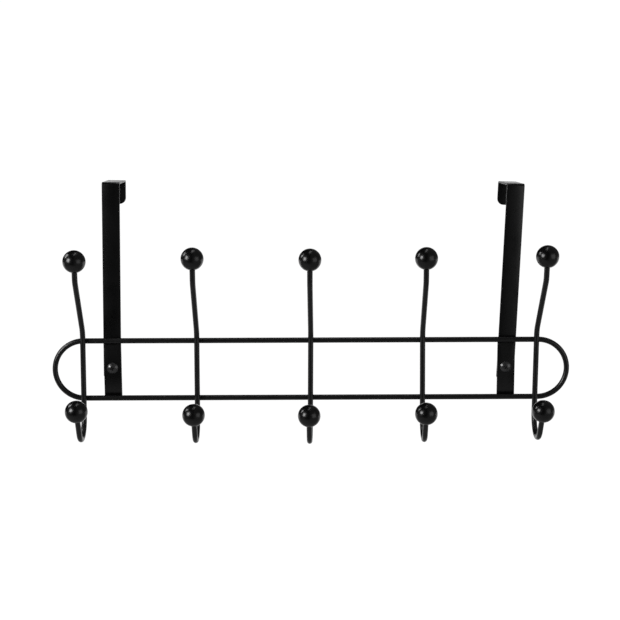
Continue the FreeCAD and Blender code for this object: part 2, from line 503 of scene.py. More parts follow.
@dataclass(frozen=True)
class WeldMetal:
    """Metal and paint that fill the crevice between welded parts.

    The parts' stubs are fused and smoothed, so that only the crevice between them fills up.

    Attributes:
        grain: size of the fused mesh's faces.
        rounds: how many times it is smoothed.
        flow: how far a point moves towards its neighbours' middle each time.
        shrink: how far the stubs lie under the parts' own surface.
        reach: how far they reach from where the parts cross.
    """

    grain: float = 0.3 * MM
    rounds: int = 10
    flow: float = 0.5
    shrink: float = 0.06 * MM
    reach: float = 7.0 * MM

    def fillet(self, name: str, stubs: bmesh.types.BMesh) -> bpy.types.Object:
        """Fuses overlapping stubs into one smooth body.

        Args:
            name: the name of the new body.
            stubs: short lengths of the parts that meet, which are freed.

        Returns:
            The fused body.
        """
        body = make_object(name, stubs)
        remesh = body.modifiers.new("fuse", "REMESH")
        remesh.mode = "VOXEL"
        remesh.voxel_size = self.grain
        smooth = body.modifiers.new("flow", "SMOOTH")
        smooth.factor = self.flow
        smooth.iterations = self.rounds
        apply_modifiers(body)
        return body


# Another node's output, or a plain number
Source = bpy.types.NodeSocket | float


def feed(tree: bpy.types.NodeTree, socket: bpy.types.NodeSocket, source: Source) -> None:
    """Gives a socket another node's output, or a number.

    Args:
        tree: the node tree.
        socket: the socket to feed.
        source: what it gets.
    """
    if isinstance(source, bpy.types.NodeSocket):
        tree.links.new(source, socket)
    else:
        socket.default_value = source


def worked_out(
    tree: bpy.types.NodeTree, operation: str, first: Source, second: Source
) -> bpy.types.NodeSocket:
    """Works out a value from two others.

    Args:
        tree: the node tree to build in.
        operation: what is done with them.
        first: the first value.
        second: the second value.

    Returns:
        The result.
    """
    node = tree.nodes.new("ShaderNodeMath")
    node.operation = operation
    feed(tree, node.inputs[0], first)
    feed(tree, node.inputs[1], second)
    return node.outputs[0]


def blended(
    tree: bpy.types.NodeTree, share: Source, first: Source, second: Source
) -> bpy.types.NodeSocket:
    """Mixes two values.

    Args:
        tree: the node tree to build in.
        share: how much of the second value there is.
        first: the first value.
        second: the second value.

    Returns:
        The mixed value.
    """
    node = tree.nodes.new("ShaderNodeMix")
    for name, source in (("Factor", share), ("A", first), ("B", second)):
        feed(tree, node.inputs[name], source)
    return node.outputs["Result"]


def graded(
    tree: bpy.types.NodeTree,
    along: bpy.types.NodeSocket,
    reach: tuple[float, float],
    ends: tuple[float, float] = (0.0, 1.0),
) -> bpy.types.NodeSocket:
    """A value that goes smoothly from one level to another.

    Args:
        tree: the node tree to build in.
        along: the coordinate that it follows.
        reach: where it leaves its first level, and where it comes to its last one.
        ends: the two levels.

    Returns:
        The value.
    """
    node = tree.nodes.new("ShaderNodeMapRange")
    node.interpolation_type = "SMOOTHSTEP"
    node.inputs["From Min"].default_value, node.inputs["From Max"].default_value = reach
    node.inputs["To Min"].default_value, node.inputs["To Max"].default_value = ends
    tree.links.new(along, node.inputs["Value"])
    return node.outputs["Result"]


class SurfaceGroups:
    """Shader node groups that more than one finish uses."""

    _made: dict[str, bpy.types.ShaderNodeTree] = {}

    @classmethod
    def coat_grain(cls) -> bpy.types.ShaderNodeTree:
        """The small relief and the soft cloudiness of a paint or plastic skin.

        Returns:
            A group with the inputs Peel Size, Grain Size and Cloud Size in metres and Grain
            Share, and the outputs Height and Cloud, both from 0 to 1.
        """
        if "coat_grain" in cls._made:
            return cls._made["coat_grain"]
        tree = bpy.data.node_groups.new("coat_grain", "ShaderNodeTree")
        sockets = tree.interface
        for name in ("Peel Size", "Grain Size", "Cloud Size", "Grain Share"):
            sockets.new_socket(name, in_out="INPUT", socket_type="NodeSocketFloat")
        for name in ("Height", "Cloud"):
            sockets.new_socket(name, in_out="OUTPUT", socket_type="NodeSocketFloat")
        nodes, links = tree.nodes, tree.links
        inputs = nodes.new("NodeGroupInput")
        outputs = nodes.new("NodeGroupOutput")
        place = nodes.new("ShaderNodeTexCoord")
        fields: dict[str, bpy.types.NodeSocket] = {}
        for name, detail in (("Peel Size", 1.0), ("Grain Size", 2.0), ("Cloud Size", 3.0)):
            scale = worked_out(tree, "DIVIDE", 1.0, inputs.outputs[name])
            noise = nodes.new("ShaderNodeTexNoise")
            noise.inputs["Detail"].default_value = detail
            links.new(place.outputs["Object"], noise.inputs["Vector"])
            links.new(scale, noise.inputs["Scale"])
            fields[name] = noise.outputs["Fac"]
        grain_share = inputs.outputs["Grain Share"]
        height = blended(tree, grain_share, fields["Peel Size"], fields["Grain Size"])
        links.new(height, outputs.inputs["Height"])
        links.new(fields["Cloud Size"], outputs.inputs["Cloud"])
        cls._made["coat_grain"] = tree
        return tree


# The lowest and highest value that the cloud noise mostly takes
CLOUD_SPAN = (0.3, 0.7)


@dataclass(frozen=True)
class Finish:
    """A black skin with a soft sheen: what it is called and how it takes the light.

    Attributes:
        name: the material's name, also its slot in the record.
        dark: the colour in its thin places.
        light: the colour in its cloudy places.
        gloss: the lowest and highest roughness.
        peel: size of the wide ripple.
        grain: size of the fine grain.
        grain_share: how much of the relief is fine grain.
        cloud: size of the cloudy patches.
        relief: depth of the relief.
        mirror: how much it mirrors head-on, where 0.5 is a common paint.
    """

    name: str
    dark: tuple[float, float, float]
    light: tuple[float, float, float]
    gloss: tuple[float, float]
    peel: float
    grain: float
    grain_share: float
    cloud: float
    relief: float
    mirror: float = 0.5

    def material(self) -> bpy.types.Material:
        """Builds the finish as a node material.

        Returns:
            The new material.
        """
        made = bpy.data.materials.new(self.name)
        made.use_nodes = True
        nodes, links = made.node_tree.nodes, made.node_tree.links
        surface = nodes["Principled BSDF"]
        surface.inputs["Specular IOR Level"].default_value = self.mirror
        skin = nodes.new("ShaderNodeGroup")
        skin.node_tree = SurfaceGroups.coat_grain()
        skin.inputs["Peel Size"].default_value = self.peel
        skin.inputs["Grain Size"].default_value = self.grain
        skin.inputs["Cloud Size"].default_value = self.cloud
        skin.inputs["Grain Share"].default_value = self.grain_share

        colour = nodes.new("ShaderNodeMix")
        colour.data_type = "RGBA"
        colour.inputs["A"].default_value = (*self.dark, 1)
        colour.inputs["B"].default_value = (*self.light, 1)
        links.new(skin.outputs["Cloud"], colour.inputs["Factor"])
        links.new(colour.outputs["Result"], surface.inputs["Base Color"])

        gloss = nodes.new("ShaderNodeMapRange")
        gloss.inputs["From Min"].default_value, gloss.inputs["From Max"].default_value = CLOUD_SPAN
        gloss.inputs["To Min"].default_value = self.gloss[0]
        gloss.inputs["To Max"].default_value = self.gloss[1]
        links.new(skin.outputs["Cloud"], gloss.inputs["Value"])
        links.new(gloss.outputs["Result"], surface.inputs["Roughness"])

        bump = nodes.new("ShaderNodeBump")
        bump.inputs["Distance"].default_value = self.relief
        links.new(skin.outputs["Height"], bump.inputs["Height"])
        links.new(bump.outputs["Normal"], surface.inputs["Normal"])
        return made


WIRE_COAT = Finish(
    name="black_wire",
    dark=(0.0022, 0.0022, 0.0023),
    light=(0.0038, 0.0038, 0.0040),
    gloss=(0.30, 0.36),
    peel=1.3 * MM,
    grain=0.22 * MM,
    grain_share=0.12,
    cloud=16 * MM,
    relief=0.008 * MM,
)
STRAP_COAT = Finish(
    name="black_strap",
    dark=(0.0013, 0.0013, 0.0014),
    light=(0.0023, 0.0023, 0.0024),
    gloss=(0.25, 0.31),
    peel=1.6 * MM,
    grain=0.25 * MM,
    grain_share=0.15,
    cloud=22 * MM,
    relief=0.008 * MM,
)
BALL_SKIN = Finish(
    name="black_ball",
    dark=(0.0010, 0.0010, 0.0011),
    light=(0.0016, 0.0016, 0.0017),
    gloss=(0.24, 0.28),
    peel=3.0 * MM,
    grain=0.3 * MM,
    grain_share=0.08,
    cloud=8 * MM,
    relief=0.006 * MM,
)
FASTENER_COAT = Finish(
    name="black_fastener",
    dark=(0.012, 0.012, 0.0125),
    light=(0.020, 0.020, 0.0205),
    gloss=(0.21, 0.29),
    peel=0.5 * MM,
    grain=0.12 * MM,
    grain_share=0.4,
    cloud=3 * MM,
    relief=0.004 * MM,
    mirror=0.85,
)


@dataclass
class WireLoop:
    """The closed wire loop: two level rails joined by half circles.

    Attributes:
        sizes: the rack's shared sizes.
        sides: how many sides the round wire has.
        bend_steps: rows of faces round each half circle.
        rail_pieces: rows of faces along each rail.
        seam: how near its two ends come before they are joined.
    """

    sizes: RackSizes
    sides: int = 40
    bend_steps: int = 64
    rail_pieces: int = 90
    seam: float = 0.005 * MM

    def mesh(self, inset: float = 0.0) -> bmesh.types.BMesh:
        """Draws the loop once round.

        Args:
            inset: how far the surface is drawn in.

        Returns:
            The closed ring.
        """
        sizes = self.sizes
        rail = sizes.loop_width - sizes.wire_diameter - sizes.rail_spacing
        path = BendPath(Vector((0, rail / 2, -sizes.rail_half)), 90)
        path.round_section(sizes.wire_radius - inset, self.sides)
        for _ in range(2):
            path.run(rail, self.rail_pieces)
            path.bend(sizes.rail_half, -180, self.bend_steps)
        along_x = Matrix.Rotation(math.radians(90), 4, "Z")
        place = Matrix.Translation((0, sizes.rail_y, sizes.rail_mid_z))
        bmesh.ops.transform(path.mesh, matrix=place @ along_x, verts=path.mesh.verts[:])
        return outward_mesh(path.mesh, self.seam)

    def build(self, coat: bpy.types.Material) -> None:
        """Makes the loop and puts it in its place.

        Args:
            coat: the wire's powder coat.
        """
        loop = make_object("wire_loop", self.mesh())
        shade(loop)
        mount(loop, coat, "frame_loop")


@dataclass(frozen=True)
class HookFit:
    """How one hook wire sits in its welds: the small errors of hand loading.

    Attributes:
        side: how far it stands to the right.
        lift: how far it is lifted.
        tilt: its tilt in degrees, clockwise as seen from the front.
        twist: its turn about the upright in degrees.
        feed: how far it was fed into its bends.
    """

    side: float
    lift: float
    tilt: float
    twist: float
    feed: float


HOOK_FITS = (
    HookFit(side=-0.1 * MM, lift=0.7 * MM, tilt=0.5, twist=1.7, feed=2.5 * MM),
    HookFit(side=0.3 * MM, lift=-0.3 * MM, tilt=0.3, twist=0.5, feed=-0.5 * MM),
    HookFit(side=0.6 * MM, lift=-1.4 * MM, tilt=0.4, twist=-1.6, feed=-0.4 * MM),
    HookFit(side=-0.4 * MM, lift=-0.2 * MM, tilt=-0.4, twist=-1.0, feed=-0.1 * MM),
    HookFit(side=-0.4 * MM, lift=1.3 * MM, tilt=0.5, twist=-0.8, feed=0.2 * MM),
)


@dataclass(frozen=True)
class HookRows:
    """Rows of faces along each part of a hook wire.

    Attributes:
        front: on the leg in front of the throat.
        throat: round the throat.
        upright: from the throat up to the first bend.
        prong_bend: round that bend.
        prong: on the prong.
        tip_bend: round the bend that turns the tip up.
        tip: on the tip.
    """

    front: int = 12
    throat: int = 48
    upright: int = 45
    prong_bend: int = 14
    prong: int = 20
    tip_bend: int = 12
    tip: int = 8


@dataclass
class DoubleHook:
    """One bent hook wire with its two balls, welded across the front of both rails.

    Attributes:
        sizes: the rack's shared sizes.
        number: 1 for the left hook to 5 for the right one.
        fit: how it sits in its welds.
        pitch: from one hook to the next.
        row_shift: how far the row of hooks stands to the right.
        bend_gap: straight wire between the upper rail and the first bend.
        prong_radius: radius of the bend above the upper rail.
        prong_lean: lean of the prong, in degrees.
        prong_run: straight part of the prong.
        tip_radius: radius of the bend that turns the tip up.
        tip_lean: lean of the tip, in degrees.
        tip_run: straight part of the tip up to the ball.
        drop_run: straight wire below the lower rail.
        throat_radius: radius of the round throat.
        front_lean: lean of the leg in front of the throat, in degrees.
        front_run: straight part of that leg up to the ball.
        ball_diameter: size of the balls.
        bore_depth: how far the wire goes into a ball.
        bore_clearance: room round the wire in the bore.
        mouth_chamfer: chamfer at the bore's mouth.
        sides: how many sides the round wire has.
        rows: rows of faces along the wire.
        ball_sides: how many sides a ball has.
        ball_rows: rows of faces from its pole to its bore.
    """

    sizes: RackSizes
    number: int
    fit: HookFit
    pitch: float = 98.2 * MM
    row_shift: float = -1.0 * MM
    bend_gap: float = 0.2 * MM
    prong_radius: float = 15.0 * MM
    prong_lean: float = 39.0
    prong_run: float = 53.5 * MM
    tip_radius: float = 12.0 * MM
    tip_lean: float = 6.0
    tip_run: float = 16.5 * MM
    drop_run: float = 13.7 * MM
    throat_radius: float = 18.0 * MM
    front_lean: float = 31.5
    front_run: float = 23.4 * MM
    ball_diameter: float = 19.0 * MM
    bore_depth: float = 11.0 * MM
    bore_clearance: float = 0.05 * MM
    mouth_chamfer: float = 0.4 * MM
    sides: int = 40
    rows: HookRows = HookRows()
    ball_sides: int = 112
    ball_rows: int = 64

    @property
    def ball_seat(self) -> float:
        """How far the wire reaches past a ball's centre, the bore's depth less a radius."""
        return self.bore_depth - self.ball_diameter / 2

    def placement(self) -> Matrix:
        """Where the hook's own frame stands on the rails.

        Returns:
            The matrix from the hook's plane to the rack.
        """
        along = (self.number - (len(HOOK_FITS) + 1) / 2) * self.pitch + self.row_shift
        spot = Vector((along + self.fit.side, self.sizes.hook_y, self.sizes.rail_mid_z))
        tilt = Matrix.Rotation(math.radians(self.fit.tilt), 4, "Y")
        twist = Matrix.Rotation(math.radians(self.fit.twist), 4, "Z")
        return Matrix.Translation(spot) @ tilt @ twist

    def wire_path(self) -> tuple[BendPath, Matrix, Matrix]:
        """Bends the wire in its own plane, from the lower ball to the upper one.

        Returns:
            The path, and the places of the lower and the upper wire end, with Z along the wire
            and out of it.
        """
        sizes, rows = self.sizes, self.rows
        path = BendPath(Vector(), 180 + self.front_lean)
        path.round_section(sizes.wire_radius, self.sides)
        path.run(self.front_run + self.fit.feed + self.ball_seat, rows.front)
        path.bend(self.throat_radius, 180 - self.front_lean, rows.throat)
        foot = path.point
        path.heading -= 360
        upright = self.drop_run + sizes.rail_spacing + sizes.wire_radius + self.bend_gap
        path.run(upright, rows.upright)
        path.bend(self.prong_radius, self.prong_lean, rows.prong_bend)
        path.run(self.prong_run, rows.prong)
        path.bend(self.tip_radius, self.tip_lean - self.prong_lean, rows.tip_bend)
        path.run(self.tip_run - self.fit.feed + self.ball_seat, rows.tip)
        path.close_ends()
        shift = Vector((0, 0, self.fit.lift - self.drop_run - sizes.rail_half)) - foot
        bmesh.ops.translate(path.mesh, vec=shift, verts=path.mesh.verts[:])
        lower_turn = Matrix.Rotation(math.radians(self.front_lean), 4, "X")
        lower_end = Matrix.Translation(shift) @ lower_turn
        upper_turn = Matrix.Rotation(math.radians(path.heading), 4, "X")
        upper_end = Matrix.Translation(path.point + shift) @ upper_turn
        return path, lower_end, upper_end

    def weld_stubs(self, level: int, weld: WeldMetal) -> bmesh.types.BMesh:
        """Short lengths of the hook wire and of the loop where they cross.

        Args:
            level: 1 at the upper rail, -1 at the lower one.
            weld: how the stubs are to be fused.

        Returns:
            The two stubs, in their place on the rack.
        """
        sizes = self.sizes
        crossing = self.placement() @ Matrix.Translation((0, 0, level * sizes.rail_half))
        mesh = WireLoop(sizes).mesh(weld.shrink)
        ends = [(crossing.translation + side * weld.reach, side) for side in (X_AXIS, -X_AXIS)]
        ends.append((Z_AXIS * sizes.rail_mid_z, Z_AXIS * -level))
        for spot, outwards in ends:
            bmesh.ops.bisect_plane(
                mesh,
                geom=mesh.verts[:] + mesh.edges[:] + mesh.faces[:],
                plane_co=spot,
                plane_no=outwards,
                clear_outer=True,
            )
        rims = [edge for edge in mesh.edges if edge.is_boundary]
        bmesh.ops.holes_fill(mesh, edges=rims, sides=0)
        bmesh.ops.create_cone(
            mesh,
            cap_ends=True,
            radius1=sizes.wire_radius - weld.shrink,
            radius2=sizes.wire_radius - weld.shrink,
            depth=2 * weld.reach,
            segments=self.sides,
            matrix=crossing,
        )
        return outward_mesh(mesh)

    def ball_mesh(self) -> bmesh.types.BMesh:
        """Turns a ball with its blind bore, centred on the origin and with its bore along -Z.

        Returns:
            The ball.
        """
        radius = self.ball_diameter / 2
        bore = self.sizes.wire_radius + self.bore_clearance
        lip = bore + self.mouth_chamfer
        outline = arc_points(radius, 0, math.pi - math.asin(lip / radius), self.ball_rows)
        mouth = outline[-1][1]
        outline += [
            (bore, mouth + self.mouth_chamfer),
            (bore, self.ball_seat),
            (0, self.ball_seat),
        ]
        return turned_mesh(outline, self.ball_sides)

    def build(self, coat: bpy.types.Material, skin: bpy.types.Material) -> None:
        """Makes the wire with its welds, and the two balls.

        Args:
            coat: the wire's powder coat.
            skin: the balls' plastic.
        """
        path, lower_end, upper_end = self.wire_path()
        wire = make_object(f"hook_{self.number}_wire", outward_mesh(path.mesh))
        wire.data.transform(self.placement())
        weld = WeldMetal()
        for level in (-1, 1):
            fillet = weld.fillet("weld_metal", self.weld_stubs(level, weld))
            combine(wire, fillet, Cut.UNION)
        rails = make_object("rails", WireLoop(self.sizes, rail_pieces=1).mesh())
        combine(wire, rails, Cut.DIFFERENCE)
        clear_crumbs(wire)
        shade(wire)
        mount(wire, coat, f"hook_wire_{self.number}")
        for level, end in (("lower", lower_end), ("upper", upper_end)):
            ball = make_object(f"hook_{self.number}_{level}_ball", self.ball_mesh())
            seat = Matrix.Translation(Z_AXIS * -self.ball_seat)
            ball.data.transform(self.placement() @ end @ seat)
            shade(ball)
            mount(ball, skin, f"{level}_ball_{self.number}")


@dataclass
class MountingPlate:
    """A flat plate welded across the back of both rails.

    Attributes:
        sizes: the rack's shared sizes.
        side: left or right.
        width: how wide it is.
        overhang: how far it reaches past the middle of each rail.
        corner_radius: its rounded corners.
        corner_rows: rows of faces round each corner.
        edge_radius: the softened edges of its faces.
        hole_radius: the hole for the screw.
        hole_offset: how far its hole is left of its middle.
    """

    sizes: RackSizes
    side: Side
    width: float = 15.3 * MM
    overhang: float = 1.5 * MM
    corner_radius: float = 1.5 * MM
    corner_rows: int = 8
    edge_radius: float = 0.25 * MM
    hole_radius: float = 2.25 * MM
    hole_offset: float = 0.2 * MM

    def mesh(self) -> bmesh.types.BMesh:
        """Cuts the plate out of flat bar.

        Returns:
            The plate without its hole and grooves.
        """
        sizes = self.sizes
        mesh = bmesh.new()
        height = sizes.rail_spacing + 2 * self.overhang
        upright = Matrix.Rotation(math.radians(90), 4, "X")
        shape = Matrix.Diagonal((self.width, height, 1, 1))
        bmesh.ops.create_grid(
            mesh, x_segments=1, y_segments=1, size=0.5, matrix=upright @ shape
        )
        bmesh.ops.bevel(
            mesh,
            geom=mesh.verts[:],
            offset=self.corner_radius,
            offset_type="OFFSET",
            segments=self.corner_rows,
            profile=0.5,
            affect="VERTICES",
            material=-1,
        )
        made = bmesh.ops.extrude_face_region(mesh, geom=mesh.faces[:])["geom"]
        moved = [part for part in made if isinstance(part, bmesh.types.BMVert)]
        bmesh.ops.translate(mesh, vec=Y_AXIS * sizes.plate_thickness, verts=moved)
        middle = sizes.screw_centre(self.side).x + self.hole_offset
        spot = Vector((middle, sizes.plate_front_y, sizes.rail_mid_z))
        bmesh.ops.translate(mesh, vec=spot, verts=mesh.verts[:])
        return outward_mesh(mesh)

    def build(self, coat: bpy.types.Material) -> None:
        """Makes the plate and puts it in its place.

        Args:
            coat: the powder coat.
        """
        sizes = self.sizes
        plate = make_object(f"{self.side.value}_plate", self.mesh())
        soften_edges(plate, self.edge_radius)
        middle = sizes.screw_centre(self.side) + Y_AXIS * sizes.plate_front_y
        through = 4 * sizes.plate_thickness
        drill = slotted_cutter(self.hole_radius, 0, through, middle)
        combine(plate, make_object("drill", drill), Cut.DIFFERENCE)
        combine(plate, make_object("rails", WireLoop(sizes, rail_pieces=1).mesh()), Cut.DIFFERENCE)
        clear_crumbs(plate)
        shade(plate)
        mount(plate, coat, f"mounting_plate_{self.side.value}")


@dataclass
class DoorStrap:
    """A flat bar bent over the door: up its front, across its top and down its back.

    Attributes:
        sizes: the rack's shared sizes.
        side: left or right.
        width: how wide the bar is.
        bend_radius: inner radius of the bends.
        return_leg: length of the leg behind the door, over its whole height.
        return_corner: rounded corners of that leg's end.
        tail: how far the bar reaches below the screw.
        tail_corner: rounded corners of that end.
        flat_run: how far above the screw the bar stays flat.
        edge_radius: the bar's softened edges.
        slot_play: how much longer than wide the slot is.
        slot_radius: half the slot's width.
        side_error: how far right of its screw the left and the right strap are clamped.
        lift: how high they are clamped.
        twist: how far each bar is twisted above its flat part, in degrees.
        twist_rows: rows of faces in the twisted part.
        bend_rows: rows of faces round each bend.
        corner_rows: rows of faces round each corner.
    """

    sizes: RackSizes
    side: Side
    width: float = 15.3 * MM
    bend_radius: float = 1.0 * MM
    return_leg: float = 21.0 * MM
    return_corner: float = 5.5 * MM
    tail: float = 8.8 * MM
    tail_corner: float = 1.2 * MM
    flat_run: float = 32.0 * MM
    edge_radius: float = 0.3 * MM
    slot_play: float = 3.0 * MM
    slot_radius: float = 2.5 * MM
    side_error: tuple[float, float] = (-0.4 * MM, 0.2 * MM)
    lift: tuple[float, float] = (0.7 * MM, -1.4 * MM)
    twist: tuple[float, float] = (-0.6, 3.5)
    twist_rows: int = 24
    bend_rows: int = 12
    corner_rows: int = 14

    @property
    def slot_middle(self) -> Vector:
        """The middle of the bar at the screw's height, midway through the door."""
        return self.sizes.screw_centre(self.side) + X_AXIS * self.side_error[self.side.index]

    def sheet(self) -> bmesh.types.BMesh:
        """Bends the middle of the sheet, and rounds the corners of its two ends.

        Returns:
            The sheet, with no thickness yet.
        """
        sizes = self.sizes
        centre = self.slot_middle
        tail_z = centre.z - self.tail
        middle_radius = self.bend_radius + sizes.sheet_thickness / 2
        start = Vector((centre.x, sizes.strap_back_y - sizes.sheet_thickness / 2, tail_z))
        path = BendPath(start, 0)
        path.flat_section(self.width)
        path.run(self.tail + self.flat_run)
        path.run(-self.bend_radius - path.point.z, self.twist_rows)
        path.bend(middle_radius, -90, self.bend_rows)
        path.run(sizes.door_gap - 2 * self.bend_radius)
        path.bend(middle_radius, -90, self.bend_rows)
        path.run(self.return_leg - sizes.sheet_thickness - self.bend_radius)
        self.twist_bar(path.mesh, start)
        ends = (
            (self.tail_corner, lambda spot: spot.z < tail_z + self.tail / 2),
            (
                self.return_corner,
                lambda spot: spot.y > 0 and abs(spot.z - path.point.z) < self.edge_radius,
            ),
        )
        for radius, at_end in ends:
            bmesh.ops.bevel(
                path.mesh,
                geom=[vert for vert in path.mesh.verts if at_end(vert.co)],
                offset=radius,
                offset_type="OFFSET",
                segments=self.corner_rows,
                profile=0.5,
                affect="VERTICES",
                material=-1,
            )
        return path.mesh

    def twist_bar(self, mesh: bmesh.types.BMesh, foot: Vector) -> None:
        """Twists the bar evenly from its flat part up to the first bend, and all beyond it.

        Args:
            mesh: the bent sheet, which is changed.
            foot: the middle of the bar's lower end.
        """
        low = foot.z + self.tail + self.flat_run
        full = math.radians(self.twist[self.side.index])
        axis = Matrix.Translation((foot.x, foot.y, 0))
        for vert in mesh.verts:
            share = (vert.co.z - low) / (-self.bend_radius - low)
            if vert.co.y > foot.y + self.edge_radius:
                share = 1
            turn = Matrix.Rotation(full * min(max(share, 0), 1), 4, "Z")
            vert.co = axis @ turn @ axis.inverted() @ vert.co

    def build(self, coat: bpy.types.Material) -> None:
        """Makes the strap and clamps it at its own height and lean.

        Args:
            coat: the powder coat.
        """
        sizes = self.sizes
        strap = make_object(f"{self.side.value}_strap", self.sheet())
        bar = strap.modifiers.new("bar", "SOLIDIFY")
        bar.thickness = sizes.sheet_thickness
        bar.offset = 0
        bar.use_even_offset = True
        apply_modifiers(strap)
        soften_edges(strap, self.edge_radius)
        middle = self.slot_middle + Y_AXIS * sizes.strap_back_y
        through = 4 * sizes.sheet_thickness
        slot = slotted_cutter(self.slot_radius, self.slot_play, through, middle)
        combine(strap, make_object("slot", slot), Cut.DIFFERENCE)
        lift = Matrix.Translation(Z_AXIS * self.lift[self.side.index])
        strap.data.transform(sizes.lean(self.side) @ lift)
        shade(strap)
        mount(strap, coat, f"door_strap_{self.side.value}")


@dataclass
class ClampScrew:
    """A domed cross-recess screw through plate and strap, with the nut behind them.

    Attributes:
        sizes: the rack's shared sizes.
        side: left or right.
        shank_radius: outer radius of the thread.
        thread_depth: how deep the thread is cut.
        pitch: of the thread.
        head_radius: half the head's width.
        head_rim: height of the head's rim.
        head_dome: height of the dome on it.
        recess_width: from end to end of the cross at the top.
        recess_floor: the same at its floor.
        recess_slot: width of its wings.
        recess_depth: how deep it is.
        turn: how the cross of the left and the right screw stands, in degrees.
        nut_height: height of the nut.
        thread_showing: thread past the nut.
        end_chamfer: chamfer on the screw's end.
        crest_room: room between the thread's crest and the envelope that trims its end.
        edge_radius: the head's softened edges.
        crease: the angle in degrees from which its edges look sharp.
        head_sides: how many sides the head has.
        dome_rows: rows of faces on its dome.
        shank_sides: how many sides the shank's envelope has.
        thread_steps: how many steps one turn of the thread has.
        spare_turns: turns of the rod past the screw's ends, one at each.
    """

    sizes: RackSizes
    side: Side
    shank_radius: float = 2.0 * MM
    thread_depth: float = 0.4 * MM
    pitch: float = 0.7 * MM
    head_radius: float = 4.9 * MM
    head_rim: float = 0.5 * MM
    head_dome: float = 2.0 * MM
    recess_width: float = 4.4 * MM
    recess_floor: float = 1.6 * MM
    recess_slot: float = 0.9 * MM
    recess_depth: float = 1.7 * MM
    turn: tuple[float, float] = (18.0, 52.0)
    nut_height: float = 3.2 * MM
    thread_showing: float = 1.4 * MM
    end_chamfer: float = 0.5 * MM
    crest_room: float = 0.04 * MM
    edge_radius: float = 0.08 * MM
    crease: float = 30.0
    head_sides: int = 96
    dome_rows: int = 24
    shank_sides: int = 64
    thread_steps: int = 32
    spare_turns: int = 2

    @property
    def length(self) -> float:
        """Length under the head."""
        clamped = self.sizes.plate_thickness + self.sizes.sheet_thickness
        return clamped + self.nut_height + self.thread_showing

    @property
    def head_height(self) -> float:
        """From the head's underside to the top of its dome."""
        return self.head_rim + self.head_dome

    def head(self) -> bmesh.types.BMesh:
        """Turns the head, with its top at +Z and its underside at Z = 0.

        Returns:
            The head without its recess.
        """
        dome = (self.head_radius**2 + self.head_dome**2) / (2 * self.head_dome)
        arc = arc_points(dome, 0, math.asin(self.head_radius / dome), self.dome_rows)
        outline = [(radius, height + self.head_height - dome) for radius, height in arc]
        outline += [(self.head_radius, 0), (0, 0)]
        return turned_mesh(outline, self.head_sides)

    def recess_wing(self, turn: float) -> bmesh.types.BMesh:
        """One wing of the cross, whose ends slope in towards its floor.

        Args:
            turn: how it stands, in degrees.

        Returns:
            The wing as a cutter.
        """
        over = 1 + self.head_dome / self.recess_depth
        mouth = self.recess_floor + (self.recess_width - self.recess_floor) * over
        above = self.head_height + self.head_dome
        floor = self.head_height - self.recess_depth
        corners = (
            (-mouth / 2, above),
            (mouth / 2, above),
            (self.recess_floor / 2, floor),
            (-self.recess_floor / 2, floor),
        )
        mesh = bmesh.new()
        face = mesh.faces.new([mesh.verts.new((x, -self.recess_slot / 2, z)) for x, z in corners])
        made = bmesh.ops.extrude_face_region(mesh, geom=[face])["geom"]
        moved = [part for part in made if isinstance(part, bmesh.types.BMVert)]
        bmesh.ops.translate(mesh, vec=Y_AXIS * self.recess_slot, verts=moved)
        spin = Matrix.Rotation(math.radians(turn), 4, "Z")
        bmesh.ops.transform(mesh, matrix=spin, verts=mesh.verts[:])
        return outward_mesh(mesh)

    def threaded_rod(self) -> bmesh.types.BMesh:
        """Draws a section with one tooth along a helix, which makes a threaded rod.

        Returns:
            The rod along -Z, longer than the screw at both ends.
        """
        mesh = bmesh.new()
        steps = self.thread_steps
        made = bmesh.ops.create_circle(mesh, radius=self.shank_radius, segments=steps)
        for index, vert in enumerate(made["verts"]):
            share = abs(2 * index / steps - 1)
            vert.co *= 1 - self.thread_depth / self.shank_radius * share
        turns = math.ceil(self.length / self.pitch) + self.spare_turns
        bmesh.ops.spin(
            mesh,
            geom=made["verts"] + mesh.edges[:],
            cent=(0, 0, 0),
            dvec=Z_AXIS * -self.pitch / steps,
            axis=Z_AXIS,
            angle=math.radians(360 * turns),
            steps=steps * turns,
            use_duplicate=False,
        )
        rims = [edge for edge in mesh.edges if edge.is_boundary]
        bmesh.ops.holes_fill(mesh, edges=rims, sides=0)
        bmesh.ops.translate(mesh, vec=Z_AXIS * self.pitch, verts=mesh.verts[:])
        return outward_mesh(mesh)

    def blank(self) -> bmesh.types.BMesh:
        """Turns the shank's envelope, with its chamfered end.

        Returns:
            The envelope from inside the head to the end.
        """
        inside = self.head_rim / 2
        radius = self.shank_radius + self.crest_room
        outline = [
            (0, inside),
            (radius, inside),
            (radius, self.end_chamfer - self.length),
            (radius - self.end_chamfer, -self.length),
            (0, -self.length),
        ]
        return turned_mesh(outline, self.shank_sides)

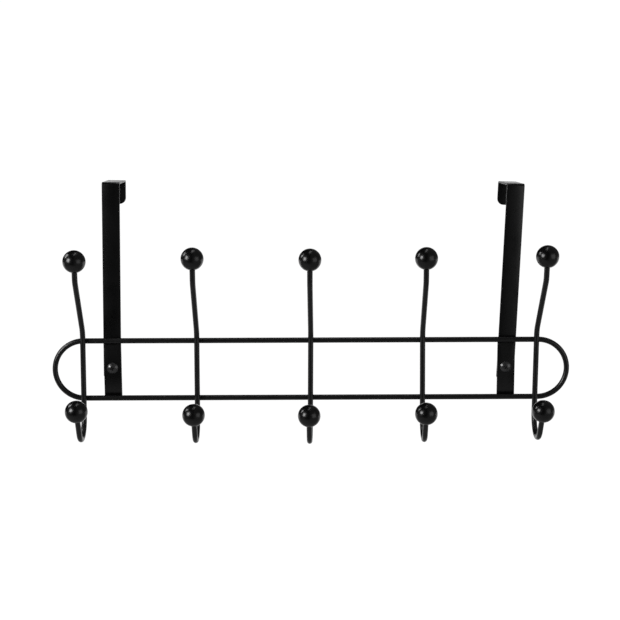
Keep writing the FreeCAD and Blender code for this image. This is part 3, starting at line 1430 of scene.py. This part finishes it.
    def build(self, coat: bpy.types.Material) -> None:
        """Makes the screw, and dresses the CAD nut behind it.

        Args:
            coat: the fasteners' black coat.
        """
        sizes = self.sizes
        name = self.side.value
        screw = make_object(f"{name}_clamp_screw", self.head())
        for quarter in (0, 90):
            turn = self.turn[self.side.index] + quarter
            combine(screw, make_object("recess", self.recess_wing(turn)), Cut.DIFFERENCE)
        soften_edges(screw, self.edge_radius, rows=2)
        shank = make_object("shank", self.blank())
        combine(shank, make_object("rod", self.threaded_rod()), Cut.INTERSECT)
        combine(screw, shank, Cut.UNION)
        clear_crumbs(screw)
        forward = Matrix.Rotation(math.radians(90), 4, "X")
        seat = sizes.screw_centre(self.side) + Y_AXIS * sizes.plate_front_y
        screw.data.transform(Matrix.Translation(seat) @ forward)
        shade(screw, self.crease)
        mount(screw, coat, f"screw_{name}")
        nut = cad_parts[f"nut_{name}"]
        nut.data.materials.clear()
        nut.data.materials.append(coat)
        LOG.info("nut_%s is dressed", name)


# Watts for each square metre of a light whose front is to look white
WHITE_WATTS = 4.0


@dataclass(frozen=True)
class Softbox:
    """A soft rectangular studio light.

    Attributes:
        name: what it is called.
        place: where its middle is.
        width: of its front.
        height: of its front.
        brightness: of its front, where 1 is white.
        aim: the point that it faces, near the rack's middle.
    """

    name: str
    place: tuple[float, float, float]
    width: float
    height: float
    brightness: float
    aim: tuple[float, float, float] = (0, 0, -0.12)

    def build(self) -> None:
        """Hangs the light."""
        light = bpy.data.lights.new(self.name, "AREA")
        light.shape = "RECTANGLE"
        light.size = self.width
        light.size_y = self.height
        light.energy = self.brightness * self.width * self.height * WHITE_WATTS
        lamp = bpy.data.objects.new(self.name, light)
        bpy.context.scene.collection.objects.link(lamp)
        lamp.location = self.place
        towards = Vector(self.aim) - Vector(self.place)
        lamp.rotation_mode = "QUATERNION"
        lamp.rotation_quaternion = towards.to_track_quat("-Z", "Y")
        lamp.visible_camera = False
        LOG.info("light %s hangs", self.name)


SOFTBOXES = (
    Softbox("key_softbox", (-1.20, -0.87, 0.30), width=0.60, height=0.60, brightness=9.2),
    Softbox("rim_strip", (-0.80, 0.13, 0.36), width=0.12, height=0.30, brightness=11.0),
    Softbox("right_panel", (1.50, -1.25, 0.10), width=1.4, height=1.2, brightness=0.74),
    Softbox("top_softbox", (0.06, -0.02, 2.0), width=1.3, height=0.25, brightness=2.7),
)


@dataclass
class Studio:
    """The white wall, floor, lights and camera of the photograph.

    Attributes:
        floor_z: height of the floor.
        floor_size: width of the floor.
        front_painted_shade_and_light: how pale the floor is far in front of the rack, at its
            left and right: painted shade of the dark room at the left and painted light from the
            right, which the rack shows in its gloss.
        front_shade_to_light_span: where along X its front goes from the painted shade to the
            painted light.
        pale_paint: how pale it is round the rack.
        pale_span: where along Y the front gives way to the pale part.
        floor_glow: how much of white the front and the pale part glow for the camera.
        behind_span: where along Y the floor behind the rack turns white in gloss.
        floor_roughness: of the floor's paint.
        wall_span: how far a view has to point along +Y, where 1 is straight along it, for the
            white wall to start and to be full.
        white: brightness of the wall, a little over white.
        room: brightness of the room in front of the wall, seen in gloss, at its left and right.
        room_span: how far along +X a view points where the room leaves its left brightness and
            where it comes to its right one.
        fill: brightness of the light from all round, for matt surfaces.
        pitch: how far the camera looks down, in radians.
        yaw: how far it looks to the left.
        roll: how far it is turned clockwise.
        distance: from the camera to its target.
        target: the point in the middle of its view.
        focal: its focal length in pixels of the photograph.
        photo_width: the photograph's width in pixels.
        sensor: width of its sensor in millimetres.
        farthest: how far it sees.
    """

    floor_z: float = -0.80
    floor_size: float = 14.0
    # Painted shade and painted light: the floor's front is dark at the left and paler at the right,
    # standing for the room's light as the rack mirrors it
    front_painted_shade_and_light: tuple[float, float] = (0.04, 0.26)
    front_shade_to_light_span: tuple[float, float] = (-0.1, 0.5)
    pale_paint: float = 0.27
    pale_span: tuple[float, float] = (-1.6, -0.8)
    floor_glow: tuple[float, float] = (1.0, 0.87)
    behind_span: tuple[float, float] = (0.3, 1.2)
    floor_roughness: float = 0.9
    wall_span: tuple[float, float] = (0.93, 0.98)
    white: float = 1.03
    room: tuple[float, float] = (0.014, 0.12)
    room_span: tuple[float, float] = (0.0, 0.25)
    fill: float = 0.60
    pitch: float = 0.1538
    yaw: float = -0.0038
    roll: float = -0.003
    distance: float = 1124.71 * MM
    target: tuple[float, float, float] = (-0.7385 * MM, -23.05 * MM, -108.21 * MM)
    focal: float = 1300.0
    photo_width: float = 620.0
    sensor: float = 36.0
    farthest: float = 100.0

    def camera(self) -> None:
        """Sets the camera up as the photograph was taken."""
        data = bpy.data.cameras.new("camera")
        data.sensor_width = self.sensor
        data.lens = self.sensor * self.focal / self.photo_width
        data.clip_end = self.farthest
        camera = bpy.data.objects.new("camera", data)
        bpy.context.scene.collection.objects.link(camera)
        turn = (
            Matrix.Rotation(self.yaw, 4, "Z")
            @ Matrix.Rotation(math.pi / 2 - self.pitch, 4, "X")
            @ Matrix.Rotation(self.roll, 4, "Z")
        )
        place = Vector(self.target) + turn @ Z_AXIS * self.distance
        camera.matrix_world = Matrix.Translation(place) @ turn
        bpy.context.scene.camera = camera

    def _shown_white(
        self, tree: bpy.types.NodeTree, behind: bpy.types.NodeSocket
    ) -> bpy.types.NodeSocket:
        """Where white shows: to the camera, and in gloss and glass where it lies behind.

        Args:
            tree: the node tree to build in.
            behind: 1 behind the rack, and 0 in front of it.

        Returns:
            1 where white shows, 0 where it doesn't.
        """
        rays = tree.nodes.new("ShaderNodeLightPath").outputs
        bounced, passed = rays["Is Glossy Ray"], rays["Is Transmission Ray"]
        mirrored = worked_out(tree, "MAXIMUM", bounced, passed)
        masked = worked_out(tree, "MULTIPLY", mirrored, behind)
        return worked_out(tree, "MAXIMUM", rays["Is Camera Ray"], masked)

    def wall(self) -> None:
        """Makes the world: a white wall behind the rack, and a dim room in front of it."""
        world = bpy.data.worlds.new("studio")
        bpy.context.scene.world = world
        world.use_nodes = True
        tree = world.node_tree
        backdrop = tree.nodes["Background"]
        backdrop.inputs["Color"].default_value = (1, 1, 1, 1)
        place = tree.nodes.new("ShaderNodeTexCoord")
        parts = tree.nodes.new("ShaderNodeSeparateXYZ")
        tree.links.new(place.outputs["Generated"], parts.inputs[0])
        rays = tree.nodes.new("ShaderNodeLightPath").outputs

        behind = graded(tree, parts.outputs["Y"], self.wall_span)
        room = graded(tree, parts.outputs["X"], self.room_span, self.room)
        around = blended(tree, rays["Is Diffuse Ray"], room, self.fill)
        level = blended(tree, self._shown_white(tree, behind), around, self.white)
        tree.links.new(level, backdrop.inputs["Strength"])

    def floor(self) -> None:
        """Lays the pale floor, which keeps the rack's shadow, with painted shade and painted light
        on its front.
        """
        mesh = bmesh.new()
        bmesh.ops.create_grid(
            mesh,
            x_segments=1,
            y_segments=1,
            size=self.floor_size / 2,
            matrix=Matrix.Translation(Z_AXIS * self.floor_z),
        )
        floor = make_object("studio_floor", mesh)
        paint = bpy.data.materials.new("floor_paint")
        paint.use_nodes = True
        tree = paint.node_tree
        surface = tree.nodes["Principled BSDF"]
        surface.inputs["Roughness"].default_value = self.floor_roughness
        surface.inputs["Specular IOR Level"].default_value = 0.0
        surface.inputs["Emission Color"].default_value = (1, 1, 1, 1)
        place = tree.nodes.new("ShaderNodeTexCoord")
        parts = tree.nodes.new("ShaderNodeSeparateXYZ")
        tree.links.new(place.outputs["Object"], parts.inputs[0])

        pale = graded(tree, parts.outputs["Y"], self.pale_span)
        # Painted shade at the left of the front and painted light towards its right, for the dim
        # room and the brighter light from the right that the rack mirrors
        front = graded(tree, parts.outputs["X"], self.front_shade_to_light_span, self.front_painted_shade_and_light)
        colour = blended(tree, pale, front, self.pale_paint)
        tree.links.new(colour, surface.inputs["Base Color"])

        behind = graded(tree, parts.outputs["Y"], self.behind_span)
        shown = self._shown_white(tree, behind)
        glow = worked_out(tree, "MULTIPLY", shown, blended(tree, pale, *self.floor_glow))
        tree.links.new(glow, surface.inputs["Emission Strength"])
        floor.data.materials.append(paint)

    def build(self) -> None:
        """Sets up the wall, floor, lights and camera."""
        self.wall()
        self.floor()
        for softbox in SOFTBOXES:
            softbox.build()
        self.camera()
        bpy.context.scene.view_settings.view_transform = "Standard"


def main() -> None:
    """Builds the rack's sub-assemblies and the studio, in order."""
    logging.basicConfig(level=logging.INFO, format="%(name)s: %(message)s")
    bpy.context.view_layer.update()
    sizes = RackSizes()
    coat = WIRE_COAT.material()
    flat_coat = STRAP_COAT.material()
    skin = BALL_SKIN.material()
    fastener = FASTENER_COAT.material()

    WireLoop(sizes).build(coat)
    for number, fit in enumerate(HOOK_FITS, start=1):
        DoubleHook(sizes, number, fit).build(coat, skin)
    for side in Side:
        MountingPlate(sizes, side).build(flat_coat)
        DoorStrap(sizes, side).build(flat_coat)
        ClampScrew(sizes, side).build(fastener)
    Studio().build()


if __name__ == "__main__":
    main()
